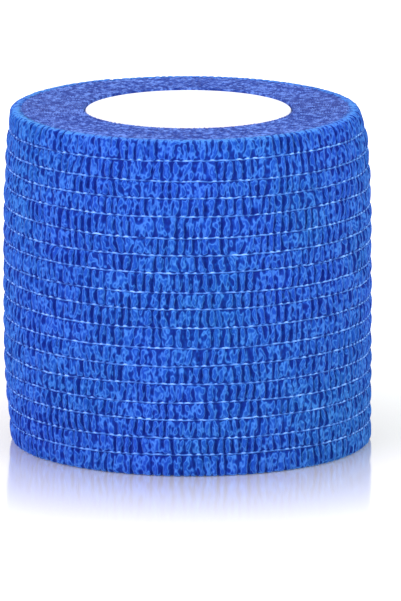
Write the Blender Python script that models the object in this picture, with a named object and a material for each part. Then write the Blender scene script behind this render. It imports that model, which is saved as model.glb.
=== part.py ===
"""A cohesive bandage roll: one strip of crinkled elastic cloth wound tight on a thin white tube.

Metres, +Z up. The roll stands on one end, and the origin is the middle of the face that it
stands on. Angles turn counterclockwise from +X, seen from above, so the front is at 270 degrees.
Nothing on the roll moves.
"""

import math

import bmesh
import bpy

# The wound cloth
STRIP_WIDTH = 0.0500  # the width that the strip is cut to is the height of the roll
FULL_RADIUS = 0.0273  # halfway up, over the end of the strip
CLOTH_BORE = 0.0155  # inside the first turn
PLY = 0.0005  # one turn of the crinkled cloth
STRIP_END_ANGLE = 118.0  # where the outer end of the strip lies, at the back
STRIP_END_SLOPE = 1.2  # degrees over which the pressed-down end runs out onto the turn below

# The side of the roll
HEAD_TAPER = 0.0011  # how much the side draws in all round towards its upper end
FOOT_TAPER = 0.0001  # and towards the end that it stands on
TAPER_POWER = 3  # the side is nearly straight, and falls away near the ends
SHOULDER = 0.0007  # radius of the soft edge between the side and an end
HEAD_SLUMP = 0.0008  # extra drawing-in of the soft upper right edge
HEAD_SLUMP_HEIGHT = 0.0060  # how far down from the upper end it reaches
HEAD_SLUMP_ANGLE = 0.0
FOOT_SLUMP = 0.0011  # extra drawing-in of the soft lower left edge
FOOT_SLUMP_HEIGHT = 0.0180  # how far up it reaches
FOOT_SLUMP_ANGLE = 180.0

# The tube that the strip is wound on
TUBE_WALL = 0.0010
TUBE_GAP = 0.0003  # all round, between the tube and the first turn
TUBE_SHORT = 0.0003  # the tube ends this far below the top of the cloth
TUBE_EASE = 0.0002  # bevel on the tube's cut edges

# How finely the round shapes are divided
CLOTH_COLUMNS = 120
TUBE_COLUMNS = 96
SHOULDER_STEPS = 3
SIDE_ROWS = 12
SMOOTH_BELOW = 40.0  # degrees between faces, under which they are shaded as one surface


def clear_scene():
    for thing in list(bpy.data.objects):
        bpy.data.objects.remove(thing, do_unlink=True)


def finish(name, color, roughness):
    """A plain dielectric finish."""
    material = bpy.data.materials.new(name)
    material.use_nodes = True
    shader = material.node_tree.nodes["Principled BSDF"]
    shader.inputs["Base Color"].default_value = (*color, 1.0)
    shader.inputs["Roughness"].default_value = roughness
    shader.inputs["Metallic"].default_value = 0.0
    material.diffuse_color = (*color, 1.0)
    return material


def ring(name, columns, material):
    """A closed ring about Z from (angle, section) pairs, each section a closed loop of (radius, height)."""
    form = bmesh.new()
    rows = []
    for angle, section in columns:
        across = math.cos(math.radians(angle))
        along = math.sin(math.radians(angle))
        rows.append([form.verts.new((radius * across, radius * along, z)) for radius, z in section])
    for here, after in zip(rows, rows[1:] + rows[:1]):
        for k in range(len(here)):
            form.faces.new((here[k - 1], after[k - 1], after[k], here[k]))
    bmesh.ops.recalc_face_normals(form, faces=form.faces)
    mesh = bpy.data.meshes.new(name)
    form.to_mesh(mesh)
    form.free()
    mesh.shade_smooth()
    mesh.set_sharp_from_angle(angle=math.radians(SMOOTH_BELOW))
    mesh.materials.append(material)
    body = bpy.data.objects.new(name, mesh)
    bpy.context.scene.collection.objects.link(body)
    return body


def slump(depth, reach, facing_angle, angle, from_end):
    """Extra drawing-in near an end, greatest at facing_angle and none on the far side."""
    if from_end >= reach:
        return 0.0
    facing = (1.0 + math.cos(math.radians(angle - facing_angle))) / 2.0
    return depth * facing * (1.0 - from_end / reach) ** 2


def side_radius(angle, height):
    """The roll's radius at this height, before its edges are rounded."""
    turned = (angle - STRIP_END_ANGLE) / 360.0
    upward = 2.0 * height / STRIP_WIDTH - 1.0
    taper = HEAD_TAPER if upward > 0.0 else FOOT_TAPER
    drawn_in = taper * abs(upward) ** TAPER_POWER
    drawn_in += slump(HEAD_SLUMP, HEAD_SLUMP_HEIGHT, HEAD_SLUMP_ANGLE, angle, STRIP_WIDTH - height)
    drawn_in += slump(FOOT_SLUMP, FOOT_SLUMP_HEIGHT, FOOT_SLUMP_ANGLE, angle, height)
    return FULL_RADIUS - PLY * turned - drawn_in


def wound_section(angle):
    """The cloth cut at this angle: flat ends, rounded shoulders, a full side and a straight bore."""
    lower = side_radius(angle, SHOULDER) - SHOULDER
    upper = side_radius(angle, STRIP_WIDTH - SHOULDER) - SHOULDER
    bends = [math.pi / 2.0 * step / SHOULDER_STEPS for step in range(SHOULDER_STEPS + 1)]
    section = [(CLOTH_BORE, 0.0)]
    for bend in bends:
        section.append((lower + SHOULDER * math.sin(bend), SHOULDER * (1.0 - math.cos(bend))))
    for row in range(1, SIDE_ROWS):
        height = SHOULDER + (STRIP_WIDTH - 2.0 * SHOULDER) * row / SIDE_ROWS
        section.append((side_radius(angle, height), height))
    for bend in bends:
        rise = SHOULDER * (1.0 - math.sin(bend))
        section.append((upper + SHOULDER * math.cos(bend), STRIP_WIDTH - rise))
    section.append((CLOTH_BORE, STRIP_WIDTH))
    return section


def tube_section():
    """The tube's wall, with its cut edges eased."""
    outer = CLOTH_BORE - TUBE_GAP
    inner = outer - TUBE_WALL
    top = STRIP_WIDTH - TUBE_SHORT
    return [
        (inner + TUBE_EASE, 0.0),
        (outer - TUBE_EASE, 0.0),
        (outer, TUBE_EASE),
        (outer, top - TUBE_EASE),
        (outer - TUBE_EASE, top),
        (inner + TUBE_EASE, top),
        (inner, top - TUBE_EASE),
        (inner, TUBE_EASE),
    ]


def make_bandage():
    """The wound strip. Its outer end stands one ply above the turn that it lies on."""
    step = 360.0 / CLOTH_COLUMNS
    angles = [STRIP_END_ANGLE + step * column for column in range(CLOTH_COLUMNS)]
    angles.append(STRIP_END_ANGLE + 360.0 - STRIP_END_SLOPE)
    cloth = finish("blue_crepe_cloth", (0.035, 0.120, 0.640), 0.85)
    return ring("bandage", [(angle, wound_section(angle)) for angle in angles], cloth)


def make_core():
    """The plain tube that carries the winding."""
    angles = [360.0 * column / TUBE_COLUMNS for column in range(TUBE_COLUMNS)]
    plastic = finish("white_tube", (0.870, 0.870, 0.860), 0.55)
    return ring("core", [(angle, tube_section()) for angle in angles], plastic)


clear_scene()
make_bandage()
make_core()
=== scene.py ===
import math

import bmesh
import bpy
import mathutils
import numpy as np
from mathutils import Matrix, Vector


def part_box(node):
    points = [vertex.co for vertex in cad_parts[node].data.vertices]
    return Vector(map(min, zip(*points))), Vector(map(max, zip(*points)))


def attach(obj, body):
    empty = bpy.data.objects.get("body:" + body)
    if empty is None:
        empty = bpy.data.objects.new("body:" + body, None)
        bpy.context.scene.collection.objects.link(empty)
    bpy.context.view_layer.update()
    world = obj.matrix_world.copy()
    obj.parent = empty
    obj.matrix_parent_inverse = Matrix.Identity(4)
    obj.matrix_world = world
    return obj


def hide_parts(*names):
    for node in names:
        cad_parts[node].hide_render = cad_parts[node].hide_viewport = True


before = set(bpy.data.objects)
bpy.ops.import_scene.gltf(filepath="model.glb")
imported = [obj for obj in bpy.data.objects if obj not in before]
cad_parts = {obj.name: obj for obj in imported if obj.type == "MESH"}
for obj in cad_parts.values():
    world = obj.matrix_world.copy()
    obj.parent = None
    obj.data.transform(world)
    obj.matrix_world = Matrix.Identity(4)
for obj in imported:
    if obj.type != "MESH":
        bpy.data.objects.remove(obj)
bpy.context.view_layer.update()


# ---------------------------------------------------------------------------------------------
# The tube. A thin plain white plastic tube, cut from a long extrusion and eased on its cut
# edges. The strip is wound straight onto it, and it stops just short of the cloth's edges.
# ---------------------------------------------------------------------------------------------
tube_low, tube_high = (np.array(corner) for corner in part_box("core"))
TUBE_RADIUS = (tube_high[0] - tube_low[0]) / 2
TUBE_WALL = 0.0010
TUBE_EASE = 0.00022  # radius on the cut edges
TUBE_SIDES = 192
TUBE_EASE_STEPS = 3
TUBE_SMOOTH_BELOW = math.radians(50.0)  # between faces, under which they are shaded as one surface
TUBE_WHITE = (0.86, 0.86, 0.85, 1.0)
TUBE_SHADE = (0.80, 0.81, 0.82, 1.0)


def select_nothing():
    """Leaves edit mode with nothing selected, so that an operator acts only on what is new."""
    if bpy.context.mode != "OBJECT":
        bpy.ops.object.mode_set(mode="OBJECT")
    bpy.ops.object.select_all(action="DESELECT")


def select_faces(piece, wanted):
    """In edit mode, selects the faces that pass this test and no others."""
    form = bmesh.from_edit_mesh(piece.data)
    for face in form.faces:
        face.select_set(wanted(face))
    form.select_flush_mode()
    bmesh.update_edit_mesh(piece.data)


def place_applied(piece, name):
    """Names a piece and puts its place into its mesh."""
    select_nothing()
    piece.name = name
    piece.data.name = name
    piece.select_set(True)
    bpy.context.view_layer.objects.active = piece
    bpy.ops.object.transform_apply(location=True, rotation=True, scale=True)
    return piece


def new_material(name):
    """A material with its Principled shader, and a function that adds and wires its nodes."""
    material = bpy.data.materials.new(name)
    material.use_nodes = True
    tree = material.node_tree
    shader = tree.nodes["Principled BSDF"]

    def node(kind, inputs=None, **settings):
        made = tree.nodes.new(kind)
        for setting, value in settings.items():
            setattr(made, setting, value)
        for socket, value in (inputs or {}).items():
            if isinstance(value, bpy.types.NodeSocket):
                tree.links.new(value, made.inputs[socket])
            else:
                made.inputs[socket].default_value = value
        return made

    def wire(output, socket):
        tree.links.new(output, shader.inputs[socket])

    return material, shader, node, wire


def white_plastic():
    """Satin white moulding plastic, with the faint drawn lines of an extrusion."""
    material, shader, node, wire = new_material("white_plastic")
    place = node("ShaderNodeTexCoord").outputs["Object"]
    drawn = node("ShaderNodeMapping", {"Vector": place, "Scale": (1800.0, 1800.0, 60.0)})
    lines = node("ShaderNodeTexNoise", {"Vector": drawn.outputs[0], "Scale": 1.0, "Detail": 3.0})
    clouds = node("ShaderNodeTexNoise", {"Vector": place, "Scale": 220.0, "Detail": 2.0})
    tint = node("ShaderNodeMix", {0: clouds.outputs[0], 6: TUBE_WHITE, 7: TUBE_SHADE}, data_type="RGBA")
    gloss = node("ShaderNodeMapRange", {0: lines.outputs[0], 3: 0.38, 4: 0.52})
    relief = node("ShaderNodeBump", {"Height": lines.outputs[0], "Strength": 0.25, "Distance": 0.00003})
    wire(tint.outputs[2], "Base Color")
    wire(gloss.outputs[0], "Roughness")
    wire(relief.outputs[0], "Normal")
    return material


select_nothing()
bpy.ops.mesh.primitive_cylinder_add(
    vertices=TUBE_SIDES, radius=TUBE_RADIUS, depth=tube_high[2] - tube_low[2], end_fill_type="NGON",
    location=(0.0, 0.0, (tube_high[2] + tube_low[2]) / 2))
tube = place_applied(bpy.context.object, "tube")
bpy.ops.object.mode_set(mode="EDIT")
bpy.ops.mesh.select_mode(type="FACE")
select_faces(tube, lambda face: abs(face.normal.z) > 0.9)
bpy.ops.mesh.inset(thickness=TUBE_WALL)
bpy.ops.mesh.bridge_edge_loops()
bpy.ops.mesh.select_all(action="SELECT")
bpy.ops.mesh.normals_make_consistent(inside=False)
bpy.ops.object.mode_set(mode="OBJECT")
ease = tube.modifiers.new("eased edges", "BEVEL")
ease.width = TUBE_EASE
ease.segments = TUBE_EASE_STEPS
ease.limit_method = "ANGLE"
bpy.ops.object.modifier_apply(modifier=ease.name)
bpy.ops.object.shade_smooth_by_angle(angle=TUBE_SMOOTH_BELOW)
tube.data.materials.append(white_plastic())
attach(tube, "root")
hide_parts("core")


# ---------------------------------------------------------------------------------------------
# The outer turn of the strip. Blue nonwoven cloth with elastic threads laid in it, which gather
# it into upright puckers between one thread and the next; it sticks only to itself.
# ---------------------------------------------------------------------------------------------
roll_low, roll_high = (np.array(corner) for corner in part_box("bandage"))
ROLL_HEIGHT = roll_high[2] - roll_low[2]
FULL_RADIUS = 0.0273  # halfway up, over the end of the strip
CLOTH_BORE = 0.0155  # inside the first turn
PLY = 0.0005  # one turn of the crinkled cloth
STRIP_END = math.radians(118.0)  # where the cut end lies, at the back
END_WALL = math.radians(0.05)  # how far round the step at the cut end takes: it is square
HEAD_TAPER = 0.0011  # how much the side draws in all round towards its upper end
FOOT_TAPER = 0.0001  # and towards the end that it stands on
TAPER_POWER = 3  # the side is nearly straight, and falls away near the ends
HEAD_SLUMP = 0.0008  # extra drawing-in of the upper right edge
HEAD_SLUMP_HEIGHT = 0.0060  # how far down from the upper end it reaches
FOOT_SLUMP = 0.0011  # and of the lower left edge
FOOT_SLUMP_HEIGHT = 0.0180  # how far up it reaches
SHOULDER = 0.0007  # radius of the soft edge between the side and an end
BACK_DROP = 0.00005  # the hidden edge of the outer turn lies this much lower than its face

THREADS = 17
EDGE_ROW = 0.0031  # between the last thread and the strip's edge
THREAD_JITTER = 0.00018  # how unevenly the threads are spaced
THREAD_BOW = 0.00006  # how far a thread wanders up and down along its way
THREAD_BOWS = 9  # most of those swings round the roll
THREAD_SHAKE = 0.00002  # and its small quick wander
THREAD_SHAKES = 60
PUCKERS = 132  # round the roll
PUCKER_SPREAD = 30  # how far from that number the puckers of a row stray, which makes some fork
PUCKER_SIZES = (0.6, 1.25)  # smallest and largest, where 1 is usual
PUCKER_WIDENING = 0.16  # how much broader a pucker is than the crease beside it
FORKING = 0.60  # how much a row's puckers change from its lower thread to its upper one
LEAN = 0.8  # how far puckers lean, in radians of their own wave
LEANS = 30  # most changes of lean round the roll
PUCKER_DEPTH = 0.00050
HELD_FLAT = 0.72  # how much of that depth a thread takes out where it crosses
FREE_EDGE = 0.6  # how strongly the strip's free edge is held flat, where a thread is 1
ROW_DIP = 0.00022  # how far the threads draw the cloth in between its rows
RIM_WIDTH = 0.00036  # the dry pale line along each cut edge of the strip
COLUMNS = 1000
ROW_STEPS = (0.0, 0.14, 0.38, 0.62, 0.86)  # where the mesh is divided, from one thread to the next
EDGE_STEPS = (0.0, 0.04, 0.12, 0.26, 0.42, 0.66, 0.86)  # and from the strip's edge to its thread
SEAM = 0.000001  # points nearer than this are one

random = np.random.default_rng(41)


def ring_of(name, columns, rows):
    """A flat grid that many squares each way, ready to be rolled up and closed into a ring."""
    select_nothing()
    bpy.ops.mesh.primitive_grid_add(x_subdivisions=columns, y_subdivisions=rows, size=0.05)
    return place_applied(bpy.context.object, name)


def gathers(columns, puckers, spread):
    """How one thread gathers the cloth, as a wave round the roll: its angle says where each pucker is
    and its size how strong."""
    order = np.fft.fftfreq(columns, 1.0 / columns)
    strength = np.exp(-0.5 * ((order - puckers) / spread) ** 2)
    noise = random.normal(size=columns) + 1j * random.normal(size=columns)
    wave = np.fft.ifft(noise * strength)
    return wave / np.sqrt(np.mean(np.abs(wave) ** 2))


def slow_wave(columns, most, fade=1.6):
    """A smooth uneven wave round the roll with up to `most` swings, of size about 1."""
    order = np.abs(np.fft.fftfreq(columns, 1.0 / columns))
    strength = np.where((order > 0) & (order <= most), 1.0 / np.maximum(order, 1) ** (fade / 2), 0.0)
    real = random.normal(size=columns) * strength
    imaginary = random.normal(size=columns) * strength
    wave = np.fft.ifft(real + 1j * imaginary).real
    return wave / np.sqrt(np.mean(wave**2))


def side_radius(angle, height):
    """The roll's radius before it is gathered, for arrays of angles (across) and heights (down)."""
    turned = np.mod(angle - STRIP_END, 2 * math.pi) / (2 * math.pi)
    upward = 2 * height / ROLL_HEIGHT - 1
    taper = np.where(upward > 0, HEAD_TAPER, FOOT_TAPER) * np.abs(upward) ** TAPER_POWER
    head = np.clip(1 - (ROLL_HEIGHT - height) / HEAD_SLUMP_HEIGHT, 0, None) ** 2 * (1 + np.cos(angle)) / 2
    foot = np.clip(1 - height / FOOT_SLUMP_HEIGHT, 0, None) ** 2 * (1 - np.cos(angle)) / 2
    return FULL_RADIUS - PLY * turned - taper - HEAD_SLUMP * head - FOOT_SLUMP * foot


def all_round(values):
    """Repeats the first column and row at the end, where the grid closes on itself."""
    return np.pad(values, ((0, 1), (0, 1)), mode="wrap").T


def note(piece, name, values):
    """Keeps one number for each point of a piece, for its material."""
    kept = piece.data.attributes.new(name, "FLOAT", "POINT")
    kept.data.foreach_set("value", np.ascontiguousarray(all_round(values), np.float32).reshape(-1))


def lay(piece, angle, radius, height):
    """Rolls the grid up to these (column, row) places, closes its seams and turns its faces outward."""
    angle = np.broadcast_to(angle, radius.shape)
    points = np.stack([radius * np.cos(angle), radius * np.sin(angle), height], axis=-1)
    points = np.pad(points, ((0, 1), (0, 1), (0, 0)), mode="wrap").transpose(1, 0, 2)
    piece.data.vertices.foreach_set("co", np.ascontiguousarray(points, np.float32).reshape(-1))
    select_nothing()
    bpy.context.view_layer.objects.active = piece
    bpy.ops.object.mode_set(mode="EDIT")
    bpy.ops.mesh.select_all(action="SELECT")
    bpy.ops.mesh.remove_doubles(threshold=SEAM)
    bpy.ops.mesh.normals_make_consistent(inside=False)
    bpy.ops.object.mode_set(mode="OBJECT")
    piece.data.shade_smooth()


angles = STRIP_END + np.linspace(0.0, 2 * math.pi - END_WALL, COLUMNS)
between = (ROLL_HEIGHT - 2 * EDGE_ROW) / (THREADS - 1)
lines = [np.zeros(COLUMNS)]
for thread in range(THREADS):
    straight = EDGE_ROW + between * thread + random.uniform(-1, 1) * THREAD_JITTER
    bowed = straight + THREAD_BOW * slow_wave(COLUMNS, THREAD_BOWS)
    lines.append(bowed + THREAD_SHAKE * slow_wave(COLUMNS, THREAD_SHAKES, 0.0))
lines.append(np.full(COLUMNS, ROLL_HEIGHT))

row_waves = []
for row in range(THREADS + 1):
    lean = LEAN * slow_wave(COLUMNS, LEANS, 0.4)
    main = gathers(COLUMNS, PUCKERS, PUCKER_SPREAD)
    other = gathers(COLUMNS, PUCKERS, PUCKER_SPREAD)
    row_waves.append((main, other, lean))


def row_wave(row, t):
    """The puckers of one row, t of the way from its lower thread to its upper one."""
    main, other, lean = row_waves[row]
    return (main + FORKING * (2 * t - 1) * other) * np.exp(1j * lean * (t - 0.5))


wave_rows, height_rows, pinch_rows, thread_row = [], [], [], []
for row in range(THREADS + 1):
    steps = ROW_STEPS
    if row == 0:
        steps = EDGE_STEPS
    if row == THREADS:
        steps = (0.0,) + tuple(1 - step for step in reversed(EDGE_STEPS))
    for t in steps:
        wave = row_wave(row, t)
        if t == 0.0 and row > 0:
            thread_row.append(len(wave_rows))
            wave = 0.5 * (wave + row_wave(row - 1, 1.0))
        wave_rows.append(wave)
        height_rows.append((1 - t) * lines[row] + t * lines[row + 1])
        at_edge = (row == 0 and t < 0.5) or (row == THREADS and t > 0.5)
        pinch_rows.append(abs(2 * t - 1) * (FREE_EDGE if at_edge else 1.0))

wave = np.array(wave_rows).T
height = np.array(height_rows).T
pinch = np.array(pinch_rows)[None, :]
strength = np.clip(np.abs(wave), *PUCKER_SIZES)
along = np.angle(wave)
relief = 0.5 * np.cos(along) - PUCKER_WIDENING * np.cos(2 * along)
relief = relief * strength * (1 - HELD_FLAT * pinch**3)
from_edge = np.minimum(height, ROLL_HEIGHT - height)
bend = np.clip(1 - from_edge / SHOULDER, 0, 1)
shoulder = SHOULDER * (1 - np.sqrt(1 - bend**2))
outer = side_radius(angles[:, None], height) + PUCKER_DEPTH * relief - ROW_DIP * pinch**4 - shoulder


def framed(values):
    """Adds the upper and lower rows of the strip's hidden back to the side's rows."""
    return np.concatenate([values, values[:, -1:], values[:, :1]], axis=1)


radius = framed(outer)
radius[:, -2:] -= PLY
level = framed(height)
level[:, -2] -= BACK_DROP
outer_turn = ring_of("bandage_outer_turn", COLUMNS, radius.shape[1])
note(outer_turn, "across", framed(np.cos(along) * strength))
note(outer_turn, "aside", framed(np.sin(along) * strength))
note(outer_turn, "pinch", framed(np.broadcast_to(pinch, outer.shape)))
note(outer_turn, "rim", framed(np.clip(1 - from_edge / RIM_WIDTH, 0, 1)))
lay(outer_turn, angles[:, None], radius, level)


def sum_of(node, *terms):
    """Adds up (output, weight, offset) terms: output times weight plus offset."""
    total = 0.0
    for output, weight, offset in terms:
        term = node("ShaderNodeMath", {0: output, 1: weight, 2: offset}, operation="MULTIPLY_ADD")
        total = node("ShaderNodeMath", {0: term.outputs[0], 1: total}, operation="ADD").outputs[0]
    return total


def ramp_of(node, value, shades):
    """Runs a value through a colour ramp of (position, color) stops."""
    ramp = node("ShaderNodeValToRGB", {0: value})
    stops = ramp.color_ramp.elements
    while len(stops) < len(shades):
        stops.new(0.5)
    for stop, (at, shade) in zip(stops, shades):
        stop.position = at
        stop.color = (*shade, 1.0)
    return ramp.outputs[0]


SWELL_LOW = -1.5  # the bottom of the deepest crease
SWELL_HIGH = 2.0  # the top of the fullest pucker
FOLD_SHADE_AND_HIGHLIGHT = (
    # swelling, paleness: painted shade in the creases, a painted highlight along each fold, middle blue
    # on top
    (-1.0, 0.0), (-0.4, 0.16), (0.10, 0.74), (0.30, 0.74), (0.70, 0.44), (1.0, 0.38), (1.5, 0.60))
ROYAL_BLUES = (  # position, color
    (0.0, (0.0003, 0.010, 0.170)), (0.45, (0.006, 0.046, 0.350)), (1.0, (0.055, 0.200, 0.640)))
AZURE_BLUES = (
    (0.0, (0.0003, 0.015, 0.165)), (0.45, (0.005, 0.062, 0.315)), (1.0, (0.055, 0.235, 0.620)))


def crepe_cloth():
    """Crinkled blue nonwoven, with painted shade making it deep blue in the creases and beside the
    threads, a painted highlight along each fold, and a dry fibrous bloom.
    """
    material, shader, node, wire = new_material("crepe_cloth")
    place = node("ShaderNodeTexCoord").outputs["Object"]
    across = node("ShaderNodeAttribute", attribute_name="across").outputs["Fac"]
    aside = node("ShaderNodeAttribute", attribute_name="aside").outputs["Fac"]
    pinch = node("ShaderNodeAttribute", attribute_name="pinch").outputs["Fac"]
    rim = node("ShaderNodeAttribute", attribute_name="rim").outputs["Fac"]

    upright = node("ShaderNodeMapping", {"Vector": place, "Scale": (1.0, 1.0, 0.6)}).outputs[0]
    wander = node("ShaderNodeTexNoise", {"Vector": upright, "Scale": 900.0, "Detail": 0.0})
    turn = sum_of(node, (wander.outputs[0], 4.4, -2.2))
    cosine = node("ShaderNodeMath", {0: turn}, operation="COSINE")
    sine = node("ShaderNodeMath", {0: turn}, operation="SINE")
    here = node("ShaderNodeMath", {0: across, 1: cosine.outputs[0]}, operation="MULTIPLY")
    there = node("ShaderNodeMath", {0: aside, 1: sine.outputs[0]}, operation="MULTIPLY")
    pucker = node("ShaderNodeMath", {0: here.outputs[0], 1: there.outputs[0]}, operation="SUBTRACT")
    crumple = node("ShaderNodeTexNoise", {"Vector": upright, "Scale": 1900.0, "Detail": 0.0})
    # painted shade: the cloth is darkened beside each thread, where the thread draws it in
    ends = node("ShaderNodeMapRange", {0: pinch, 1: 0.55, 2: 1.0}, interpolation_type="SMOOTHSTEP")
    swell = sum_of(
        node, (pucker.outputs[0], 0.90, 0.12), (crumple.outputs[0], 2.9, -1.45),
        (ends.outputs[0], -0.65, 0.0))
    placed = node("ShaderNodeMapRange", {0: swell, 1: SWELL_LOW, 2: SWELL_HIGH})
    # painted shade in the creases and beside the threads, and a painted highlight along each fold
    fold_shading = ramp_of(node, placed.outputs[0], [
        ((swelling - SWELL_LOW) / (SWELL_HIGH - SWELL_LOW), (pale, pale, pale))
        for swelling, pale in FOLD_SHADE_AND_HIGHLIGHT])
    fibres = node("ShaderNodeTexNoise", {"Vector": upright, "Scale": 2600.0, "Detail": 2.0})
    tone = sum_of(node, (fold_shading, 1.0, 0.0), (fibres.outputs[0], 0.5, -0.25), (rim, 0.5, 0.0))

    royal = ramp_of(node, tone, ROYAL_BLUES)
    azure = ramp_of(node, tone, AZURE_BLUES)
    dye = node("ShaderNodeTexNoise", {"Vector": place, "Scale": 60.0, "Detail": 2.0})
    patches = node("ShaderNodeMapRange", {0: dye.outputs[0], 1: 0.35, 2: 0.65})
    blue = node("ShaderNodeMix", {0: patches.outputs[0], 6: royal, 7: azure}, data_type="RGBA")
    rough = node("ShaderNodeMapRange", {0: crumple.outputs[0], 3: 0.70, 4: 0.95})
    raised = node("ShaderNodeMapRange", {0: swell, 1: -0.8, 2: 0.6})
    height = sum_of(node, (raised.outputs[0], 1.0, 0.0), (fibres.outputs[0], 0.35, 0.0))
    surface = node("ShaderNodeBump", {"Height": height, "Strength": 0.8, "Distance": 0.00018})
    wire(blue.outputs[2], "Base Color")
    wire(rough.outputs[0], "Roughness")
    wire(surface.outputs[0], "Normal")
    shader.inputs["Specular IOR Level"].default_value = 0.1
    shader.inputs["Sheen Weight"].default_value = 0.16
    shader.inputs["Sheen Roughness"].default_value = 0.45
    shader.inputs["Sheen Tint"].default_value = (0.30, 0.50, 1.0, 1.0)
    return material


outer_turn.data.materials.append(crepe_cloth())
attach(outer_turn, "root")
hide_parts("bandage")


# ---------------------------------------------------------------------------------------------
# The turns inside it. The same strip, wound over twenty times round the tube, so that only the
# two ends of the roll show it, as the crinkled cut edges of one turn after another.
# ---------------------------------------------------------------------------------------------
END_COLUMNS = 620
UPPER_STEPS = 4  # rows of the mesh across one ply, on the end that shows
LOWER_STEPS = 2  # and on the end that the roll stands on
TURN_GAP = 0.00003  # to the turn outside
TURN_PUCKERS = 128
TURN_SPREAD = 24
NESTING = 0.55  # how closely the puckers of one turn follow those of the turn before it
CRINKLE = 0.30  # how far the puckers push an edge inward or outward, in plies
EDGE_RELIEF = 0.00026
PLY_SHARE = 0.32  # of that relief, by the plies
PUCKER_SHARE = 0.18  # and by their puckers
LEAST_DROP = 0.00001  # no edge stands quite as high as the outer turn
PLY_GAP_SHADE = 0.55  # how much paler the middle of a ply is than the gap beside it, painted shade in the gap
END_CREASE_SHADE = 0.6  # and a pucker than the crease beside it, painted shade in the crease

end_angles = STRIP_END + np.linspace(0.0, 2 * math.pi - END_WALL, END_COLUMNS)
turns = int(round((FULL_RADIUS - PLY - CLOTH_BORE) / PLY))


def end_face(rows_per_turn):
    """One end of the winding from the outside in: fractions across it, relief and crease waves."""
    steps = turns * rows_per_turn
    across = np.linspace(0.0, 1.0, steps + 1)
    waves = []
    wave = gathers(END_COLUMNS, TURN_PUCKERS, TURN_SPREAD)
    for turn in range(turns + 2):
        fresh = gathers(END_COLUMNS, TURN_PUCKERS, TURN_SPREAD)
        wave = NESTING * wave + math.sqrt(1 - NESTING**2) * fresh
        waves.append(wave)
    waves = np.array(waves)
    depth = across[None, :] * turns + (end_angles[:, None] - STRIP_END) / (2 * math.pi)
    shift = np.empty((END_COLUMNS, steps + 1))
    column = np.arange(END_COLUMNS)
    for step in range(steps + 1):
        here = np.clip(depth[:, step], 0, turns)
        low = np.floor(here).astype(int)
        part = here - low
        shift[:, step] = ((1 - part) * waves[low, column] + part * waves[low + 1, column]).real
    edges = np.cos(2 * math.pi * (depth + CRINKLE * shift))
    return across, edges, shift


def end_profile(rows_per_turn, end_height):
    """Radius, drop below the roll's end and paleness for each point of an end, from the outside in; the
    paleness is painted shade, darker in the gaps between plies and in the creases.
    """
    across, edges, shift = end_face(rows_per_turn)
    wall = side_radius(end_angles, np.full(END_COLUMNS, end_height)) - SHOULDER - PLY - TURN_GAP
    radius = wall[:, None] + (CLOTH_BORE - wall[:, None]) * across[None, :]
    drop = EDGE_RELIEF * (0.5 - PLY_SHARE * edges - PUCKER_SHARE * np.clip(shift, -1.0, 1.0))
    return radius, np.clip(drop, LEAST_DROP, None), PLY_GAP_SHADE * edges + END_CREASE_SHADE * shift


upper_radius, upper_drop, upper_shade = end_profile(UPPER_STEPS, ROLL_HEIGHT)
lower_radius, lower_drop, lower_shade = end_profile(LOWER_STEPS, 0.0)


def ring_order(upper, lower):
    """Runs the lower end's rows inward and then the upper end's outward, as one closed loop."""
    return np.concatenate([lower, upper[:, ::-1]], axis=1)


radius = ring_order(upper_radius, lower_radius)
inner_turns = ring_of("bandage_inner_turns", END_COLUMNS, radius.shape[1])
note(inner_turns, "across", ring_order(upper_shade, lower_shade))
lay(inner_turns, end_angles[:, None], radius, ring_order(ROLL_HEIGHT - upper_drop, lower_drop))


END_SHEEN_BLUES = (  # position, color; greyer than the side's blues, a painted sheen of the ends seen at a low angle
    (0.0, (0.006, 0.030, 0.220)), (0.5, (0.032, 0.080, 0.350)), (1.0, (0.110, 0.220, 0.620)))


def crepe_edges():
    """The cut edges of many plies of the same cloth: painted greyer for the sheen of the low view, and
    dry and speckled with ends of fibre.
    """
    material, shader, node, wire = new_material("crepe_cut_edges")
    place = node("ShaderNodeTexCoord").outputs["Object"]
    ply = node("ShaderNodeAttribute", attribute_name="across").outputs["Fac"]
    specks = node("ShaderNodeTexNoise", {"Vector": place, "Scale": 1250.0, "Detail": 1.0})
    ends = node("ShaderNodeTexNoise", {"Vector": place, "Scale": 3600.0, "Detail": 2.0})
    # painted shade: darker in the gaps between plies and in the creases
    tone = sum_of(node, (ply, 0.10, 0.45), (specks.outputs[0], 3.2, -1.6), (ends.outputs[0], 1.4, -0.7))
    blue = ramp_of(node, tone, END_SHEEN_BLUES)
    height = sum_of(node, (specks.outputs[0], 1.0, 0.0), (ends.outputs[0], 0.4, 0.0))
    surface = node("ShaderNodeBump", {"Height": height, "Strength": 0.6, "Distance": 0.00012})
    wire(blue, "Base Color")
    wire(surface.outputs[0], "Normal")
    shader.inputs["Roughness"].default_value = 0.9
    shader.inputs["Specular IOR Level"].default_value = 0.15
    shader.inputs["Sheen Weight"].default_value = 0.12
    shader.inputs["Sheen Roughness"].default_value = 0.5
    shader.inputs["Sheen Tint"].default_value = (0.6, 0.62, 1.0, 1.0)
    return material


inner_turns.data.materials.append(crepe_edges())
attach(inner_turns, "root")


# ---------------------------------------------------------------------------------------------
# The elastic threads. Fine covered rubber threads laid along the strip before it is gathered.
# Each shows as a pale line that rides over the puckers and dips into the creases.
# ---------------------------------------------------------------------------------------------
THREAD_RADIUS = 0.00014
THREAD_PROUD = 0.00005  # how far its middle stands out from the cloth
THREAD_SINK = 0.00003  # how much that varies along its way
THREAD_SINKS = 12
THREAD_ARCH = 0.00009  # how far each pucker pushes the thread up along the strip
THREAD_SIDES = 6
THREAD_STEP = 2  # one ring of points for every second column of the cloth
THREAD_BLUES = (  # position, color
    (0.0, (0.001, 0.025, 0.200)), (0.5, (0.040, 0.150, 0.500)), (1.0, (0.190, 0.390, 0.840)))


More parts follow.
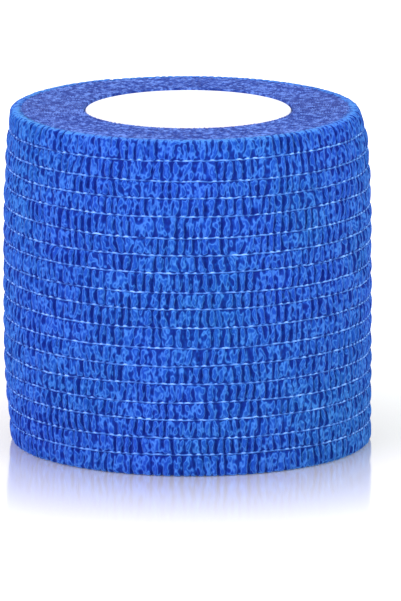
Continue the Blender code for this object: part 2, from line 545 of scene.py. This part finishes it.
def thread_finish():
    """Thread under a skin of cloth: pale where it rides over a pucker, and painted shade makes it blue
    where it dips into a crease.
    """
    material, shader, node, wire = new_material("elastic_thread")
    place = node("ShaderNodeTexCoord").outputs["Object"]
    riding = node("ShaderNodeAttribute", attribute_name="across").outputs["Fac"]
    patches = node("ShaderNodeTexNoise", {"Vector": place, "Scale": 600.0, "Detail": 2.0})
    # painted shade: the thread is darker where it dips into the creases, paler where it rides over a
    # pucker
    tone = sum_of(node, (riding, 0.42, 0.48), (patches.outputs[0], 1.8, -0.9))
    blue = ramp_of(node, tone, THREAD_BLUES)
    wire(blue, "Base Color")
    shader.inputs["Roughness"].default_value = 0.7
    shader.inputs["Specular IOR Level"].default_value = 0.2
    return material


picked = slice(0, COLUMNS, THREAD_STEP)
around = 2 * math.pi * np.arange(THREAD_SIDES) / THREAD_SIDES
cords = []
for thread in range(THREADS):
    row = thread_row[thread]
    riding = (np.cos(along) * strength)[picked, row]
    out = outer[picked, row] + THREAD_PROUD + THREAD_SINK * slow_wave(COLUMNS, THREAD_SINKS)[picked]
    up = height[picked, row] + THREAD_ARCH * riding
    cord = ring_of(f"elastic_thread_{thread + 1}", len(out), THREAD_SIDES)
    note(cord, "across", np.repeat(riding[:, None], THREAD_SIDES, axis=1))
    lay(cord, angles[picked, None], out[:, None] + THREAD_RADIUS * np.cos(around)[None, :],
        up[:, None] + THREAD_RADIUS * np.sin(around)[None, :])
    cords.append(cord)
select_nothing()
for cord in cords:
    cord.select_set(True)
bpy.context.view_layer.objects.active = cords[0]
bpy.ops.object.join()
threads = place_applied(bpy.context.object, "elastic_threads")
threads.data.materials.append(thread_finish())
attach(threads, "root")


# ---------------------------------------------------------------------------------------------
# The studio. A smooth pale table that mirrors the foot of the roll a little, soft light from
# all round with two large lamps in front, and a long lens from a little above.
# ---------------------------------------------------------------------------------------------
TABLE_SIZE = 6.0
TABLE_WHITE = (0.95, 0.95, 0.95, 1.0)
TABLE_GLOW = 0.30  # the table's pale top glows, painted light that washes out the shadows on it
MIRROR_NEAR = 0.026  # from the roll's axis, where the table is glossiest
MIRROR_FAR = 0.088  # where its gloss ends
MIRROR_SHARE = 0.74  # how much of the light it mirrors where it is glossiest
select_nothing()
bpy.ops.mesh.primitive_plane_add(size=TABLE_SIZE, location=(0.0, 0.0, 0.0))
table = place_applied(bpy.context.object, "table")
material, shader, node, wire = new_material("pale_table")
place = node("ShaderNodeTexCoord").outputs["Object"]
from_axis = node("ShaderNodeVectorMath", {0: place}, operation="LENGTH")
mirror = node("ShaderNodeMapRange", {
    0: from_axis.outputs["Value"], 1: MIRROR_NEAR, 2: MIRROR_FAR, 3: MIRROR_SHARE, 4: 0.0})
polish = node("ShaderNodeBsdfGlossy", {"Roughness": 0.12})
both = node("ShaderNodeMixShader", {0: mirror.outputs[0], 1: shader.outputs[0], 2: polish.outputs[0]})
table_surface = material.node_tree.nodes["Material Output"].inputs["Surface"]
material.node_tree.links.new(both.outputs[0], table_surface)
shader.inputs["Base Color"].default_value = TABLE_WHITE
shader.inputs["Roughness"].default_value = 0.6
# painted light: the table top glows, so that no shadow shows on it
shader.inputs["Emission Color"].default_value = (1.0, 1.0, 1.0, 1.0)
shader.inputs["Emission Strength"].default_value = TABLE_GLOW
table.data.materials.append(material)

SOFT_LIGHT = 0.96  # from all round
world = bpy.data.worlds.new("studio")
world.use_nodes = True
background = world.node_tree.nodes["Background"]
background.inputs["Color"].default_value = (1.0, 1.0, 1.0, 1.0)
background.inputs["Strength"].default_value = SOFT_LIGHT
bpy.context.scene.world = world

LAMPS = (
    # name, place, size, watts, color
    ("left", (-0.55, -0.55, 0.50), 0.60, 6.8, (0.88, 0.74, 1.0)),
    ("right", (0.60, -0.50, 0.45), 0.60, 4.4, (0.90, 1.0, 0.96)),
)
for name, where, size, watts, color in LAMPS:
    lamp = bpy.data.lights.new(f"lamp_{name}", "AREA")
    lamp.size = size
    lamp.energy = watts
    lamp.color = color
    holder = bpy.data.objects.new(f"lamp_{name}", lamp)
    holder.location = where
    towards = mathutils.Vector((0.0, 0.0, ROLL_HEIGHT / 2)) - holder.location
    holder.rotation_euler = towards.to_track_quat("-Z", "Y").to_euler()
    bpy.context.scene.collection.objects.link(holder)

VIEW_DISTANCE = 2.0
VIEW_RISE = math.radians(11.8)
VIEW_TALL = 0.0889  # how much of the world the picture takes in, top to bottom, at the roll
AIM = (0.0018, 0.0, 0.0209)
camera_data = bpy.data.cameras.new("camera")
camera_data.sensor_width = 36.0
camera_data.lens = camera_data.sensor_width * VIEW_DISTANCE / VIEW_TALL
camera_data.clip_end = 20.0
camera = bpy.data.objects.new("camera", camera_data)
back = np.array((0.0, -math.cos(VIEW_RISE), math.sin(VIEW_RISE)))
camera.location = np.array(AIM) + VIEW_DISTANCE * back
camera.rotation_euler = (math.pi / 2 - VIEW_RISE, 0.0, 0.0)
bpy.context.scene.collection.objects.link(camera)
bpy.context.scene.camera = camera
bpy.context.scene.view_settings.view_transform = "Standard"
